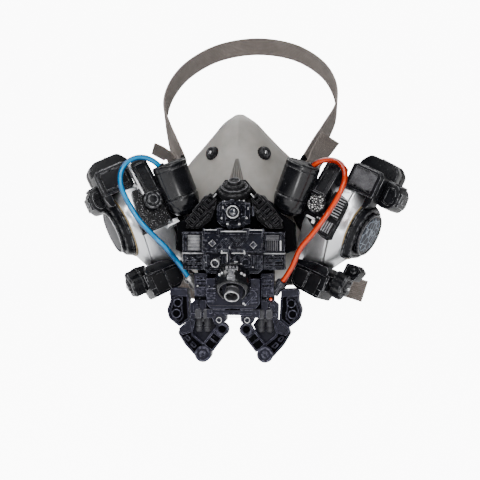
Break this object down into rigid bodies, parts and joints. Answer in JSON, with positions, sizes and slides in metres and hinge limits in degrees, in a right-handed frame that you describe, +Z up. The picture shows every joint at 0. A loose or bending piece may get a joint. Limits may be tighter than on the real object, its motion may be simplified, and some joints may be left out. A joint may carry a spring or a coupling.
{
  "type": "cyberpunk half mask",
  "caption": "Worn half mask with a soft facepiece, side filter drums in clamps, domed canisters, coloured hoses, a layered front of blocks, jaw arms and elastic straps.",
  "frame": {"origin": "middle of the face opening, where the wearer's face meets the soft facepiece", "axes": "+Y back into the wearer's face and -Y to the front, +Z up, +X to the wearer's left (right in the picture)"},
  "size_m": [0.2634, 0.2341, 0.2673],
  "materials": {
    "silicone": "satin moulded grey",
    "gloss_black": "glossy painted print, light edge wear",
    "matte_black": "satin black print",
    "silver_shell": "silver paint, smooth",
    "steel": "dark steel with bright rims",
    "disc_face": "patterned grey face",
    "lens_glass": "polished dark lens",
    "webbing": "ribbed elastic webbing",
    "hose_blue": "clear tinted hose",
    "hose_orange": "clear tinted hose"
  },
  "bodies": {
    "root": {"arm_lower_left": "gloss_black", "arm_lower_right": "gloss_black", "arm_upper_left": "gloss_black", "arm_upper_right": "gloss_black", "bezel_left": "gloss_black", "bezel_right": "gloss_black", "canister_left": "gloss_black", "canister_right": "gloss_black", "carrier": "matte_black", "chin_bar": "gloss_black", "clamp_cap_left": "gloss_black", "clamp_cap_right": "gloss_black", "clamp_knob_left": "gloss_black", "clamp_knob_right": "gloss_black", "clamp_low_left": "gloss_black", "clamp_low_right": "gloss_black", "clamp_top_left": "gloss_black", "clamp_top_right": "gloss_black", "collar": "gloss_black", "disc_left": "disc_face", "disc_right": "disc_face", "facepiece": "silicone", "fin_block_left": "gloss_black", "fin_block_right": "gloss_black", "fitting_left": "steel", "fitting_right": "steel", "head_strap": "webbing", "housing_left": "silver_shell", "housing_right": "silver_shell", "lens": "lens_glass", "lens_housing": "gloss_black", "link_left": "gloss_black", "link_right": "gloss_black", "lower_plate": "gloss_black", "mid_block": "matte_black", "module_left": "matte_black", "module_right": "matte_black", "neck_collar_left": "matte_black", "neck_collar_right": "matte_black", "neck_strap": "webbing", "nozzle": "steel", "piston_pair_left": "steel", "piston_pair_right": "steel", "post_left": "gloss_black", "post_right": "gloss_black", "side_bar_left": "gloss_black", "side_bar_right": "gloss_black", "slot_box_left": "matte_black", "slot_box_right": "matte_black", "stud_left": "gloss_black", "stud_right": "gloss_black", "tube_blue": "hose_blue", "tube_orange": "hose_orange", "turret": "gloss_black", "upper_bar": "gloss_black", "wing_left": "gloss_black", "wing_right": "gloss_black", "yoke_left": "matte_black", "yoke_right": "matte_black"}
  },
  "joints": []
}
